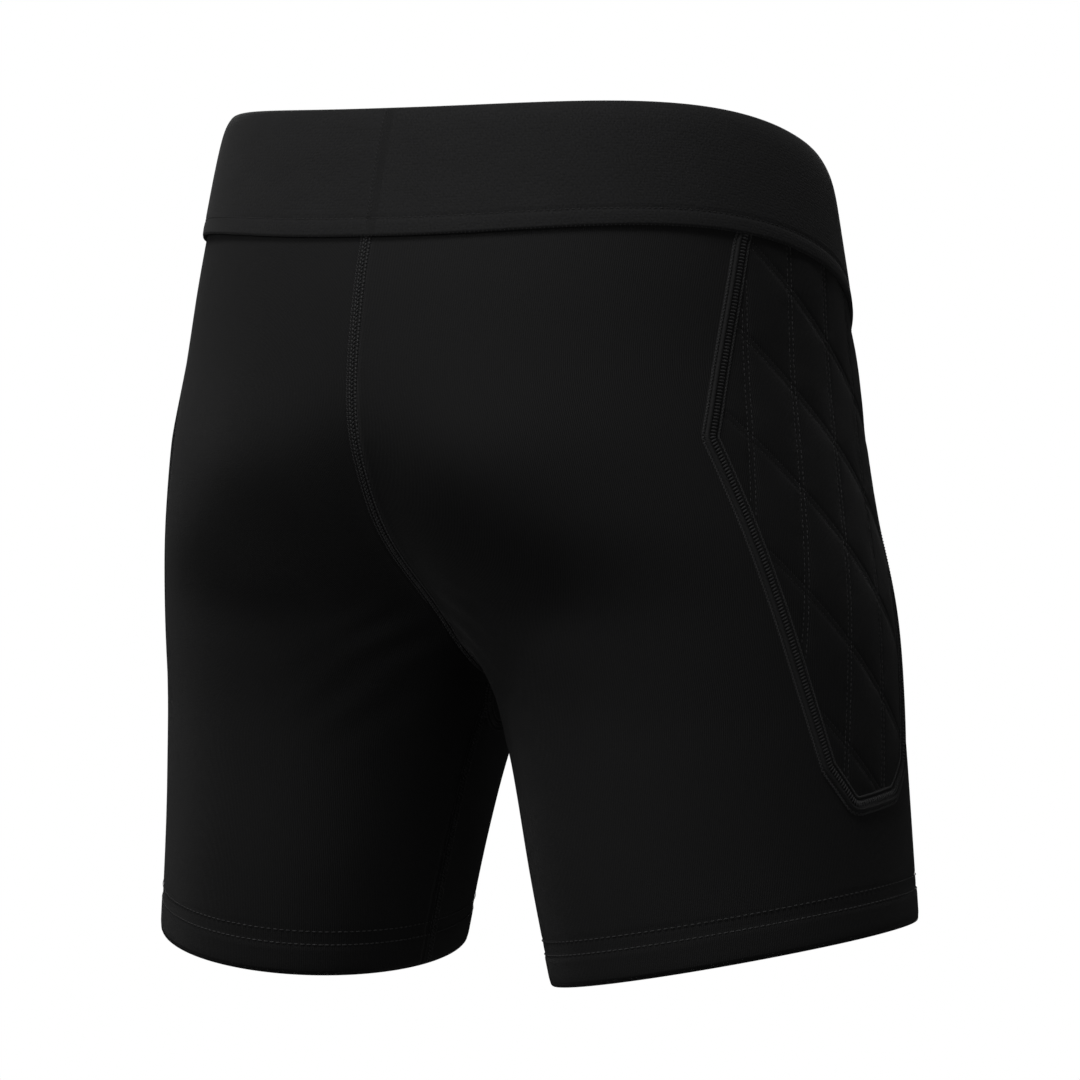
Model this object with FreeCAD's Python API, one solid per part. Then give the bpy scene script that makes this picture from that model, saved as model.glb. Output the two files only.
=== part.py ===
import FreeCAD, Part
import math
import os

# Padded impact shorts as worn, filled out by the body, without the body.
# Frame: +Z up, front of the shorts towards -Y, wearer's right towards -X, millimetres.
# The origin is the middle of the waist opening, level with the band's top edge at the two hips.
#
# Each half of the shorts is a tube whose level sections are two half ellipses: the chart below gives,
# at each depth under the origin, how far out the tube's middle stands and its three half widths.
# The two tubes meet on the middle plane X = 0 down to the crotch and hang free below it. Every piece
# is a layer of that skin, so many millimetres out from the fabric's outer face, cut to an outline.

Vector = FreeCAD.Vector

doc = FreeCAD.newDocument("padded_impact_shorts")
sheet = doc.addObject("Spreadsheet::Sheet", "Sizes")

LEVELS = ["above_waist", "under_band", "high_hip", "hip", "seat", "fork", "thigh", "low_thigh", "below_hem"]
CHART = {
    "depth":    [-25, 30, 80, 130, 180, 230, 280, 340, 420],
    "centre":   [9, 12, 16, 24, 51, 90, 109, 120, 132],
    "side":     [145, 151, 153, 152, 135, 104, 88, 80, 74],
    "back":     [117, 132, 145, 151, 138, 111, 106, 106, 101],
    "front":    [97, 103, 115, 122, 118, 103, 93, 89, 84],
}

DRIVING = {
    # waist edge and elastic band
    "waist_back_rise": 15,
    "waist_front_drop": 53,
    "waist_back_reach": 111,
    "waist_front_reach": 97,
    "band_height": 60,
    "band_thickness": 2,
    "band_overlap": 12,
    "band_stitch_lift": 8,
    # fabric, thread and padding thicknesses
    "fabric_thickness": 1,
    "thread_thickness": 0.6,
    "thread_width": 1.2,
    "foam_thickness": 6,
    "flatlock_width": 7,
    # legs
    "leg_turn": 26,
    "turn_start": 118,
    "turn_length": 160,
    "hem_depth": 390,
    "hem_side_rise": 0.139,
    "hem_back_drop": 0.094,
    "hem_fold": 24,
    "hem_row_spacing": 6.5,
    "inseam_back": 18,
    # hip panel, seen from the side
    "panel_top_half_width": 50,
    "panel_top_depth": 52,
    "panel_tuck": 36,
    "panel_shoulder_half_width": 79,
    "panel_shoulder_depth": 144,
    "panel_toe_half_width": 31,
    "panel_toe_depth": 300,
    "panel_foot_half_width": 16,
    "panel_foot_depth": 319,
    "panel_corner_radius": 10,
    "piping_width": 6.5,
    "piping_height": 1.6,
    "foam_inset": 9,
    "quilt_spacing": 28,
    "quilt_lean": 0.11,
    "quilt_slant_spacing": 53,
    "quilt_slant_start": 97,
    "quilt_row_gap": 2.5,
    # front pouch and crotch gusset
    "pouch_top_half_width": 58,
    "pouch_wide_half_width": 64,
    "pouch_wide_depth": 160,
    "pouch_foot_half_width": 26,
    "pouch_foot_depth": 232,
    "pouch_corner_radius": 18,
    "gusset_half_length": 45,
    "gusset_half_width": 20,
    "gusset_forward": 20,
    "gusset_low_depth": 312,
    "gusset_high_depth": 212,
    # reach of the cutting tools past the shorts
    "reach": 300,
    "section_step": 30,
}

row = 1
for column, values in CHART.items():
    for level, value in zip(LEVELS, values):
        sheet.set("A%d" % row, str(value))
        sheet.setAlias("A%d" % row, "%s_%s" % (level, column))
        row += 1
for name, value in DRIVING.items():
    sheet.set("A%d" % row, str(value))
    sheet.setAlias("A%d" % row, name)
    row += 1
doc.recompute()


def size(name):
    """A driving dimension, read from the sheet."""
    return float(sheet.get(name))


reach = size("reach")
fabric = size("fabric_thickness")
thread = size("thread_thickness")


# ---------------------------------------------------------------- the skin of one half

def chart_column(column):
    return [float(sheet.get("%s_%s" % (level, column))) for level in LEVELS]


DEPTHS = chart_column("depth")
COLUMNS = {column: chart_column(column) for column in ("centre", "side", "back", "front")}


def slopes(values):
    """Slope of a smooth curve at each level, never steeper than its neighbours allow."""
    steps = [(values[i + 1] - values[i]) / (DEPTHS[i + 1] - DEPTHS[i]) for i in range(len(values) - 1)]
    middle = []
    for before, after in zip(steps, steps[1:]):
        same_way = before * after > 0
        middle.append(2 * before * after / (before + after) if same_way else 0.0)
    return [steps[0]] + middle + [steps[-1]]


SLOPES = {column: slopes(values) for column, values in COLUMNS.items()}


def measure(column, depth):
    """One column of the chart at any depth, by a cubic between the two levels around it."""
    values = COLUMNS[column]
    i = max(j for j in range(len(DEPTHS) - 1) if j == 0 or DEPTHS[j] <= depth)
    span = DEPTHS[i + 1] - DEPTHS[i]
    u = (depth - DEPTHS[i]) / span
    start = values[i] * (1 + 2 * u) * (1 - u) ** 2 + SLOPES[column][i] * span * u * (1 - u) ** 2
    end = values[i + 1] * u * u * (3 - 2 * u) + SLOPES[column][i + 1] * span * u * u * (u - 1)
    return start + end


def skin_point(angle, depth, out):
    """A point of the left half's skin: angle 0 faces left, 90 degrees faces back."""
    across = (measure("side", depth) + out) * math.cos(angle)
    deep = measure("back" if math.sin(angle) > 0 else "front", depth) + out
    along = deep * math.sin(angle)
    share = min(max((depth - size("turn_start")) / size("turn_length"), 0.0), 1.0)
    turn = math.radians(size("leg_turn")) * share
    x = measure("centre", depth) + across * math.cos(turn) - along * math.sin(turn)
    y = across * math.sin(turn) + along * math.cos(turn)
    return Vector(x, y, -depth)


def skin_rings(out):
    """Closed level outlines of the left half's skin, moved out by some millimetres, top to bottom."""
    count = 16
    steps = int((DEPTHS[-1] - DEPTHS[0]) / size("section_step"))
    rings = []
    for i in range(steps + 1):
        depth = DEPTHS[0] + (DEPTHS[-1] - DEPTHS[0]) * i / steps
        curve = Part.BSplineCurve()
        angles = [math.pi + 2 * math.pi * j / count for j in range(count)]
        curve.interpolate([skin_point(angle, depth, out) for angle in angles], PeriodicFlag=True)
        rings.append(Part.Wire(curve.toShape()))
    return rings


LAYERS = {}


def left_layer(outer, inner):
    """The left half's skin between two distances out from the fabric's outer face."""
    if (outer, inner) not in LAYERS:
        outside, inside = skin_rings(outer), skin_rings(inner)
        faces = Part.makeLoft(outside, False).Faces + Part.makeLoft(inside, False).Faces
        for end in (0, -1):
            ring = Part.Face([outside[end], inside[end]])
            ring.validate()
            faces.append(ring)
        skin = Part.Compound(faces)
        skin.sewShape()
        tube = Part.makeSolid(skin.Shells[0])
        if tube.Volume < 0:
            tube.reverse()
        beside = Part.makeBox(reach, 2 * reach, 3 * reach, Vector(0, -reach, -2 * reach))
        LAYERS[outer, inner] = tube.common(beside)
    return LAYERS[outer, inner]


def both_sides(shape):
    mirrored = shape.mirror(Vector(0, 0, 0), Vector(1, 0, 0))
    return shape.fuse(mirrored).removeSplitter()


# ---------------------------------------------------------------- cutting outlines

def waist_height(y):
    """Height of the band's top edge, seen from the side: a parabola through back, hip and front."""
    back, front = size("waist_back_reach"), size("waist_front_reach")
    rise, drop = size("waist_back_rise"), size("waist_front_drop")
    bend = (rise / back - drop / front) / (back + front)
    return (rise / back - bend * back) * y + bend * y * y


def below_waist_edge(lower):
    """Everything lower than the band's top edge by so much, as one block."""
    curve = Part.BSplineCurve()
    heights = range(-160, 181, 20)
    curve.interpolate([Vector(-reach, y, waist_height(y) - lower) for y in heights])
    first, last = curve.StartPoint, curve.EndPoint
    floor = -2 * reach
    corners = [last, Vector(-reach, last.y, floor), Vector(-reach, first.y, floor), first]
    edges = [curve.toShape()] + [Part.makeLine(a, b) for a, b in zip(corners, corners[1:])]
    return Part.Face(Part.Wire(edges)).extrude(Vector(2 * reach, 0, 0))


def hem_slab(low, high):
    """The slab between two levels above the left hem, square to the leg."""
    across, back = size("hem_side_rise"), size("hem_back_drop")
    axis = Vector(-across, back, 1).normalize()
    middle = Vector(measure("centre", size("hem_depth")), 0, -size("hem_depth"))
    slab = Part.makeBox(2 * reach, 2 * reach, high - low, Vector(-reach, -reach, 0))
    slab.Placement = FreeCAD.Placement(middle + axis * low, FreeCAD.Rotation(Vector(0, 0, 1), axis))
    return slab


def rounded_face(points, radius):
    """A flat face through the corner points with its corners rounded."""
    face = Part.Face(Part.makePolygon(points + [points[0]]))
    return face.makeOffset2D(-radius).makeOffset2D(radius)


def hip_outline(grow=0.0):
    """The hip panel's shield shape on the side plane, grown or shrunk by an offset."""
    parts = ("top", "shoulder", "toe", "foot")
    corners = [(size("panel_%s_half_width" % part), -size("panel_%s_depth" % part)) for part in parts]
    (top, top_height), (shoulder, shoulder_height) = corners[:2]
    lean = (shoulder - top) / (top_height - shoulder_height)
    corners.insert(0, (top - lean * size("panel_tuck"), top_height + size("panel_tuck")))
    backward = [Vector(0, y, z) for y, z in corners]
    forward = [Vector(0, -y, z) for y, z in reversed(corners)]
    face = rounded_face(backward + forward, size("panel_corner_radius"))
    return face.makeOffset2D(grow) if grow else face


def hip_block(grow=0.0):
    """The hip panel's outline carried sideways, from inside the leg out through the hip."""
    block = hip_outline(grow).extrude(Vector(reach, 0, 0))
    block.translate(Vector(size("fork_centre"), 0, 0))
    return block


def pouch_outline(grow=0.0):
    """The front pouch on the front plane: wide under the band and narrowing to the gusset."""
    top, wide, foot = (size("pouch_%s_half_width" % part) for part in ("top", "wide", "foot"))
    left_side = [(top, 0), (wide, -size("pouch_wide_depth")), (foot, -size("pouch_foot_depth"))]
    right_side = [(-x, z) for x, z in reversed(left_side)]
    face = rounded_face([Vector(x, 0, z) for x, z in left_side + right_side], size("pouch_corner_radius"))
    return face.makeOffset2D(grow) if grow else face


def pouch_block(grow=0.0):
    return pouch_outline(grow).extrude(Vector(0, -reach, 0))


def gusset_block(grow=0.0):
    """The crotch gusset's long oval on the level plane, carried up through the crotch."""
    half_length = size("gusset_half_length") + grow
    half_width = size("gusset_half_width") + grow
    oval = Part.Ellipse(Vector(0, half_length, 0), Vector(half_width, 0, 0), Vector(0, 0, 0))
    face = Part.Face(Part.Wire(oval.toShape()))
    low, high = size("gusset_low_depth"), size("gusset_high_depth")
    face.translate(Vector(0, -size("gusset_forward"), -low))
    return face.extrude(Vector(0, 0, low - high))


# ---------------------------------------------------------------- pieces made for the left half

def shorts_length():
    """From the fabric's top edge under the band down to the hem."""
    tucked = below_waist_edge(size("band_height") - size("band_overlap"))
    return tucked.common(hem_slab(0, 2 * reach))


def body_panel(length):
    single = left_layer(0, -fabric).common(length)
    folded = left_layer(-fabric, -2 * fabric).common(hem_slab(0, size("hem_fold")))
    panel = single.cut([hip_block(), pouch_block(), gusset_block()])
    return panel.fuse(folded).removeSplitter()


def hip_cover(length):
    return left_layer(0, -fabric).common(length).common(hip_block())


def foam_space():
    """The pocket behind the hip cover: inside the seam and clear of the waistband."""
    below = below_waist_edge(size("band_height") + size("foam_inset") / 2)
    return hip_block(-size("foam_inset")).common(below)


def hip_foam():
    return left_layer(-fabric, -fabric - size("foam_thickness")).common(foam_space())


def hip_lining():
    deep = -fabric - size("foam_thickness")
    return left_layer(deep, deep - fabric).common(foam_space())


def hip_piping():
    half = size("piping_width") / 2
    ring = hip_block(half).cut(hip_block(-half)).common(below_waist_edge(size("band_height")))
    return left_layer(size("piping_height"), 0).common(ring)


def hip_seam_stitching():
    """One row of thread on each side of the piping."""
    half = size("piping_width") / 2
    width = size("thread_width")
    outer_row = hip_block(half + width).cut(hip_block(half))
    inner_row = hip_block(-half).cut(hip_block(-half - width))
    rows = outer_row.fuse(inner_row).common(below_waist_edge(size("band_height")))
    return left_layer(thread, 0).common(rows)


def quilt_rows(y, slope_y):
    """Twin rows of quilting on the side plane, through a point level with the waist."""
    along = Vector(0, slope_y, 1).normalize()
    aside = Vector(0, -along.z, along.y)
    half_width = size("thread_width") / 2
    rows = []
    for side in (-1, 1):
        middle = Vector(0, y, 0) + aside * side * size("quilt_row_gap") / 2
        ends = [(-reach * 2, -1), (reach, -1), (reach, 1), (-reach * 2, 1)]
        corners = [middle + along * far + aside * half_width * edge for far, edge in ends]
        rows.append(Part.Face(Part.makePolygon(corners + [corners[0]])))
    return rows


def hip_quilting():
    """Leaning upright lines crossed by slanting lines that run down towards the front."""
    rows = []
    for i in range(-3, 3):
        rows += quilt_rows((i + 0.55) * size("quilt_spacing"), -size("quilt_lean"))
    for i in range(5):
        rows += quilt_rows(size("quilt_slant_start") + i * size("quilt_slant_spacing"), 1)
    net = rows[0].multiFuse(rows[1:]).removeSplitter()
    block = net.common(hip_outline(-size("foam_inset"))).extrude(Vector(reach, 0, 0))
    block.translate(Vector(size("fork_centre"), 0, 0))
    return left_layer(thread, 0).common(block).common(below_waist_edge(size("band_height") + 1))


def front_seam():
    """The flatlock over the joint of the front pouch and the body panel."""
    half = size("flatlock_width") / 2
    ring = pouch_block(half).cut(pouch_block(-half)).cut(gusset_block(half))
    return left_layer(thread, 0).common(ring.common(below_waist_edge(size("band_height"))))


def inseam():
    """The flatlock down the inside of the leg, from the gusset to the hem."""
    width = size("flatlock_width")
    corner = Vector(0, size("inseam_back") - width / 2, -reach - size("fork_depth"))
    strip = Part.makeBox(size("fork_centre"), width, reach, corner)
    strip = strip.cut(gusset_block(width / 2)).common(hem_slab(0, reach))
    return left_layer(thread, 0).common(strip)


def hem_stitching():
    """Twin rows of thread that hold the turned-up hem."""
    width = size("thread_width")
    top = size("hem_fold") - 2
    rows = [hem_slab(top - gap - width, top - gap) for gap in (0, size("hem_row_spacing"))]
    return left_layer(thread, 0).common(rows[0].fuse(rows[1]))


# ---------------------------------------------------------------- pieces that cross the middle

def waistband():
    block = below_waist_edge(0).cut(below_waist_edge(size("band_height")))
    return both_sides(left_layer(size("band_thickness"), 0).common(block))


def band_attachment_stitching():
    lift = size("band_height") - size("band_stitch_lift")
    row = below_waist_edge(lift - size("thread_width")).cut(below_waist_edge(lift))
    band = size("band_thickness")
    return both_sides(left_layer(band + thread, band).common(row))


def band_join_stitching():
    """The seam that closes the elastic into a ring at the centre back."""
    band = size("band_thickness")
    half = size("flatlock_width") / 4
    strip = Part.makeBox(2 * half, reach, 2 * reach, Vector(-half, 0, -reach))
    above = below_waist_edge(2).cut(below_waist_edge(size("band_height") - size("band_stitch_lift") - 2))
    return both_sides(left_layer(band + thread, band).common(strip.common(above)))


def front_pouch(outer, inner, length):
    block = pouch_block().cut(gusset_block()).common(length)
    return both_sides(left_layer(outer, inner).common(block))


def crotch_gusset():
    return both_sides(left_layer(0, -fabric).common(gusset_block()))


def gusset_seam():
    half = size("flatlock_width") / 2
    ring = gusset_block(half).cut(gusset_block(-half))
    return both_sides(left_layer(thread, 0).common(ring))


def centre_back_seam():
    width = size("flatlock_width")
    strip = Part.makeBox(width, reach, 2 * reach, Vector(-width / 2, 0, -2 * reach))
    strip = strip.common(below_waist_edge(size("band_height"))).cut(gusset_block(width / 2))
    return both_sides(left_layer(thread, 0).common(strip))


# ---------------------------------------------------------------- the document

def add_piece(label, shape):
    """One named sub-part of the document."""
    piece = doc.addObject("Part::Feature", label)
    piece.Label = label
    piece.Shape = shape
    piece.Placement = FreeCAD.Placement()
    return piece


def add_pair(name, shape):
    """A left piece and, as its live mirror image, the right one."""
    left = add_piece("left_" + name, shape)
    right = doc.addObject("Part::Mirroring", "right_" + name)
    right.Label = "right_" + name
    right.Source = left
    right.Base = Vector(0, 0, 0)
    right.Normal = Vector(1, 0, 0)
    return [left, right]


length = shorts_length()
pieces = []
pieces += add_pair("body_panel", body_panel(length))
pieces += add_pair("hip_cover", hip_cover(length))
pieces += add_pair("hip_foam", hip_foam())
pieces += add_pair("hip_lining", hip_lining())
pieces += add_pair("hip_piping", hip_piping())
pieces += add_pair("hip_seam_stitching", hip_seam_stitching())
pieces += add_pair("hip_quilting", hip_quilting())
pieces += add_pair("front_seam", front_seam())
pieces += add_pair("inseam", inseam())
pieces += add_pair("hem_stitching", hem_stitching())
pieces.append(add_piece("waistband", waistband()))
pieces.append(add_piece("band_attachment_stitching", band_attachment_stitching()))
pieces.append(add_piece("band_join_stitching", band_join_stitching()))
pieces.append(add_piece("front_pouch_outer", front_pouch(0, -fabric, length)))
pieces.append(add_piece("front_pouch_lining", front_pouch(-fabric, -2 * fabric, length)))
pieces.append(add_piece("crotch_gusset", crotch_gusset()))
pieces.append(add_piece("gusset_seam", gusset_seam()))
pieces.append(add_piece("centre_back_seam", centre_back_seam()))
doc.recompute()

unsound = []
for piece in pieces:
    failed = "Invalid" in piece.State or "Error" in piece.State
    if failed or piece.Shape.isNull() or not piece.Shape.isValid():
        unsound.append(piece.Label)
if unsound:
    raise SystemExit("not sound: " + ", ".join(unsound))

os.makedirs("parts", exist_ok=True)
for piece in pieces:
    piece.Shape.exportStep("parts/%s.step" % piece.Label)
    box = piece.Shape.BoundBox
    print("%-28s %2d solids  %9.0f mm3  x %6.1f %6.1f  y %6.1f %6.1f  z %6.1f %6.1f" % (
        piece.Label, len(piece.Shape.Solids), piece.Shape.Volume,
        box.XMin, box.XMax, box.YMin, box.YMax, box.ZMin, box.ZMax))
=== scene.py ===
import math
import bmesh
import bpy
import numpy as np
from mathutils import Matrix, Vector


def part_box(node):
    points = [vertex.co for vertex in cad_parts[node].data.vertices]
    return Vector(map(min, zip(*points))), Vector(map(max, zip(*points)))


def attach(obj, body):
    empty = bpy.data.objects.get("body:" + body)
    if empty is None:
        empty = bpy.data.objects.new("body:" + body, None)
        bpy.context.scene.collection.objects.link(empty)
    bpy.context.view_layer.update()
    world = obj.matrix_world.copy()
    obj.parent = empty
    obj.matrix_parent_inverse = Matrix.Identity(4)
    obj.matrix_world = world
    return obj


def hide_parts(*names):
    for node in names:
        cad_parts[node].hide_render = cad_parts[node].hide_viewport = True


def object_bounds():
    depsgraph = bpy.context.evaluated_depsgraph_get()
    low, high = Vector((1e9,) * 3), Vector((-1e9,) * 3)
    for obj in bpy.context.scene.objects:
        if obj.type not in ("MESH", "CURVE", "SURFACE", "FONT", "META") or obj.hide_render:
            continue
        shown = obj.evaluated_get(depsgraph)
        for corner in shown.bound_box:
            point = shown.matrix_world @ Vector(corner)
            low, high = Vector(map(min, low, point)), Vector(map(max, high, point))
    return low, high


# Padded impact shorts, worn shape without the body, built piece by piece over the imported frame.
# Lengths are millimetres until a mesh is made. Front is towards -Y and the wearer's right towards -X.
# Every left piece is made once and mirrored for the right.

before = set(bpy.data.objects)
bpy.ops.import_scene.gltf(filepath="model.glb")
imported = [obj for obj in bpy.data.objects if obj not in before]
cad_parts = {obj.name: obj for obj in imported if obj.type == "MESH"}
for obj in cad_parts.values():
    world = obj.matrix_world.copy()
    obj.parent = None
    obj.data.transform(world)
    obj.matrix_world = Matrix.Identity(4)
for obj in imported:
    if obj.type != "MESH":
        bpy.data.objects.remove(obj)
cad_low, cad_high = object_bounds()
MM = 0.001


def node_box(name):
    """Lowest and highest corner of a CAD node, in millimetres."""
    low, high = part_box(name)
    return np.array(low) / MM, np.array(high) / MM


# ---------------------------------------------------------------- driving sizes, as in the CAD model

CHART = {
    "depth":  [-25, 30, 80, 130, 180, 230, 280, 340, 420],
    "centre": [9, 12, 16, 24, 51, 90, 109, 120, 132],
    "side":   [145, 151, 153, 152, 135, 104, 88, 80, 74],
    "back":   [117, 132, 145, 151, 138, 111, 106, 106, 101],
    "front":  [97, 103, 115, 122, 118, 103, 93, 89, 84],
}
WAIST_BACK_RISE, WAIST_BACK_REACH = 15, 111
WAIST_FRONT_DROP, WAIST_FRONT_REACH = 53, 97
BAND_HEIGHT = 60
BAND_OVERLAP = 12
BAND_STITCH_LIFT = 8
LEG_TURN, TURN_START, TURN_LENGTH = math.radians(26), 118, 160
HEM_DEPTH, HEM_SIDE_RISE, HEM_BACK_DROP = 390, 0.139, 0.094
HEM_SLOPE = math.sqrt(1 + HEM_SIDE_RISE ** 2 + HEM_BACK_DROP ** 2)
HEM_FOLD, HEM_ROWS = 24, (22, 15.5)
INSEAM_BACK = 18
HIP_CORNERS = [(34.6, -16), (50, -52), (79, -144), (31, -300), (16, -319)]
HIP_TIP_LIFT = 5       # how much higher the foot of the panel is in front
HIP_RADIUS = 7
POUCH_CORNERS = [(58, 0), (64, -160), (26, -232)]
POUCH_RADIUS = 18
QUILT_SPACING, QUILT_LEAN, QUILT_PHASE = 28, 0.11, 0.55
SLANT_SPACING, SLANT_START = 53, 97
QUILT_ROW_GAP = 2.5
FOAM_INSET = 7.0     # from the panel's seam line to the edge of its foam
BRIDGE = 9           # how far from the middle plane the stretched fabric starts to bridge the two tubes
FABRIC = 0.9
gusset_low, gusset_high = node_box("crotch_gusset")
GUSSET_HALF_WIDTH = gusset_high[0]
GUSSET_HALF_LENGTH = (gusset_high[1] - gusset_low[1]) / 2
GUSSET_MIDDLE = (gusset_high[1] + gusset_low[1]) / 2
GUSSET_TOP, GUSSET_FOOT = -212, -312
FORK_CENTRE = CHART["centre"][5]


# ---------------------------------------------------------------- the skin

DEPTH = np.array(CHART["depth"], float)
COLUMN = {name: np.array(values, float) for name, values in CHART.items() if name != "depth"}


def slopes(values):
    """Slope of a smooth curve at each level, never steeper than its neighbours allow."""
    steps = np.diff(values) / np.diff(DEPTH)
    before, after = steps[:-1], steps[1:]
    same_way = before * after > 0
    total = np.where(same_way, before + after, 1.0)
    middle = np.where(same_way, 2 * before * after / total, 0.0)
    return np.concatenate([steps[:1], middle, steps[-1:]])


SLOPE = {name: slopes(values) for name, values in COLUMN.items()}


def chart_value(column, depth):
    """One column of the chart at any depths, by a cubic between the two levels around each."""
    i = np.clip(np.searchsorted(DEPTH, depth, side="right") - 1, 0, len(DEPTH) - 2)
    span = DEPTH[i + 1] - DEPTH[i]
    u = (depth - DEPTH[i]) / span
    values, slope = COLUMN[column], SLOPE[column]
    start = values[i] * (1 + 2 * u) * (1 - u) ** 2 + slope[i] * span * u * (1 - u) ** 2
    end = values[i + 1] * u * u * (3 - 2 * u) + slope[i + 1] * span * u * u * (u - 1)
    return start + end


def chart_turn(depth):
    return LEG_TURN * np.clip((depth - TURN_START) / TURN_LENGTH, 0, 1)


TABLE_START, TABLE_STEP = -80.0, 2.0
TABLE_DEPTH = TABLE_START + TABLE_STEP * np.arange(290)


def eased(read):
    """A chart column or the turn of the leg, its bends eased over a few centimetres of cloth."""
    weights = np.exp(-(np.arange(-6, 7) / 3.0) ** 2)
    shifts = np.arange(-6, 7) * 4.0
    return sum(w * read(TABLE_DEPTH + shift) for w, shift in zip(weights, shifts)) / weights.sum()


TABLE = {name: eased(lambda depth, name=name: chart_value(name, depth)) for name in COLUMN}
TABLE["turn"] = eased(chart_turn)


def measure(column, depth):
    """An eased column at any depths, by a smooth curve through its table."""
    place = (np.asarray(depth, float) - TABLE_START) / TABLE_STEP
    i = np.clip(np.floor(place).astype(int), 1, len(TABLE_DEPTH) - 3)
    u = place - i
    a, b, c, d = (TABLE[column][i + k] for k in (-1, 0, 1, 2))
    return b + 0.5 * u * (c - a + u * (2 * a - 5 * b + 4 * c - d + u * (3 * (b - c) + d - a)))


def leg_turn(depth):
    return measure("turn", depth)


# height, across, below the origin, half width, half height: the seat's fullness and the fold under it
SEAT_FORM = [(5.0, 72, 160, 42, 30), (-4.5, 62, 224, 38, 17), (-2.0, 0, 170, 16, 45)]


def seat_form(x, depth):
    """How much further back the cloth stands than the plain chart."""
    total = 0.0
    for height, across, below, wide, tall in SEAT_FORM:
        total = total + height * np.exp(-((x - across) / wide) ** 2 - ((depth - below) / tall) ** 2)
    return total


def tube(angle, depth):
    """Points of the left half: angle 0 faces left, a quarter turn faces back."""
    turn = leg_turn(depth)
    across = measure("side", depth) * np.cos(angle)
    deep = np.where(np.sin(angle) > 0, measure("back", depth), measure("front", depth))
    along = deep * np.sin(angle)
    x = measure("centre", depth) + across * np.cos(turn) - along * np.sin(turn)
    y = across * np.sin(turn) + along * np.cos(turn)
    y = y + seat_form(x, depth) * np.clip(np.sin(angle), 0, 1) ** 2
    return np.stack([x, y, -depth], -1)


def unit(vectors):
    return vectors / np.maximum(np.linalg.norm(vectors, axis=-1, keepdims=True), 1e-9)


def skin(angle, depth):
    """Points and outward normals of the left half, its fabric bridging smoothly across the middle."""
    angle, depth = np.broadcast_arrays(np.asarray(angle, float), np.asarray(depth, float))
    point = tube(angle, depth)
    around = tube(angle + 1e-3, depth) - tube(angle - 1e-3, depth)
    down = tube(angle, depth + 0.2) - tube(angle, depth - 0.2)
    normal = np.cross(down, around)
    x = np.sqrt(np.maximum(point[..., 0] ** 2 - BRIDGE ** 2, 0))
    normal[..., 0] *= x / np.maximum(point[..., 0], 1e-6)
    point[..., 0] = x
    return point, unit(normal)


def half_range(depth):
    """The angles where the left half reaches the middle plane at the back and front, or closes as a leg."""
    turn, centre = leg_turn(depth), measure("centre", depth)
    wide = measure("side", depth) * np.cos(turn)
    ends = []
    for half in ("back", "front"):
        lean = measure(half, depth) * np.sin(turn)
        reach = np.arccos(np.clip((BRIDGE - centre) / np.hypot(wide, lean), -1, 1))
        ends.append((reach, np.arctan2(lean, wide)))
    (back_reach, back_lean), (front_reach, front_lean) = ends
    front = -front_reach - front_lean
    return back_reach - back_lean, np.where(front < -math.pi, -back_reach - back_lean, front)


def waist_height(y):
    """Height of the band's top edge, seen from the side: a parabola through back, hip and front."""
    bend = WAIST_BACK_RISE / WAIST_BACK_REACH - WAIST_FRONT_DROP / WAIST_FRONT_REACH
    bend /= WAIST_BACK_REACH + WAIST_FRONT_REACH
    return (WAIST_BACK_RISE / WAIST_BACK_REACH - bend * WAIST_BACK_REACH) * y + bend * y * y


def below_waist(lower):
    """A level line so far below the band's top edge, as a function from points to depths."""
    return lambda point: lower - waist_height(point[..., 1])


def above_hem(higher):
    """A line so far above the hem's edge, square to the leg, as a function from points to depths."""
    middle = measure("centre", np.array(float(HEM_DEPTH)))

    def depth_at(point):
        slant = HEM_BACK_DROP * point[..., 1] - HEM_SIDE_RISE * (point[..., 0] - middle)
        return HEM_DEPTH + slant - higher * HEM_SLOPE
    return depth_at


def half_angles(u, depth):
    back, front = half_range(depth)
    return back + (front - back) * u


def depth_on(line, u, angles=half_angles):
    """The depth at which each column of the half meets a line."""
    depth = np.full_like(u, 100.0)
    for _ in range(14):
        depth = line(skin(angles(u, depth), depth)[0])
    return depth


def side_angle(y, depth):
    """The angle on the outer side of the half where the skin stands at y."""
    turn = leg_turn(depth)
    side = measure("side", depth)
    behind = y > side * np.sin(turn)
    deep = np.where(behind, measure("back", depth), measure("front", depth))
    reach = np.hypot(side * np.sin(turn), deep * np.cos(turn))
    return np.arcsin(np.clip(y / reach, -1, 1)) - np.arctan2(side * np.sin(turn), deep * np.cos(turn))


def front_angle(x, depth):
    """The angle on the front of the half where the skin stands at x."""
    turn = leg_turn(depth)
    wide, lean = measure("side", depth) * np.cos(turn), measure("front", depth) * np.sin(turn)
    bridged = np.hypot(x, BRIDGE)
    share = (bridged - measure("centre", depth)) / np.hypot(wide, lean)
    return -np.arccos(np.clip(share, -1, 1)) - np.arctan2(lean, wide)


def side_signs(x):
    """Factors that mirror a point and its normal where x is on the right half."""
    return np.where(x < 0, -1.0, 1.0)[..., None] * [1, 0, 0] + [0, 1, 1]


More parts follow.
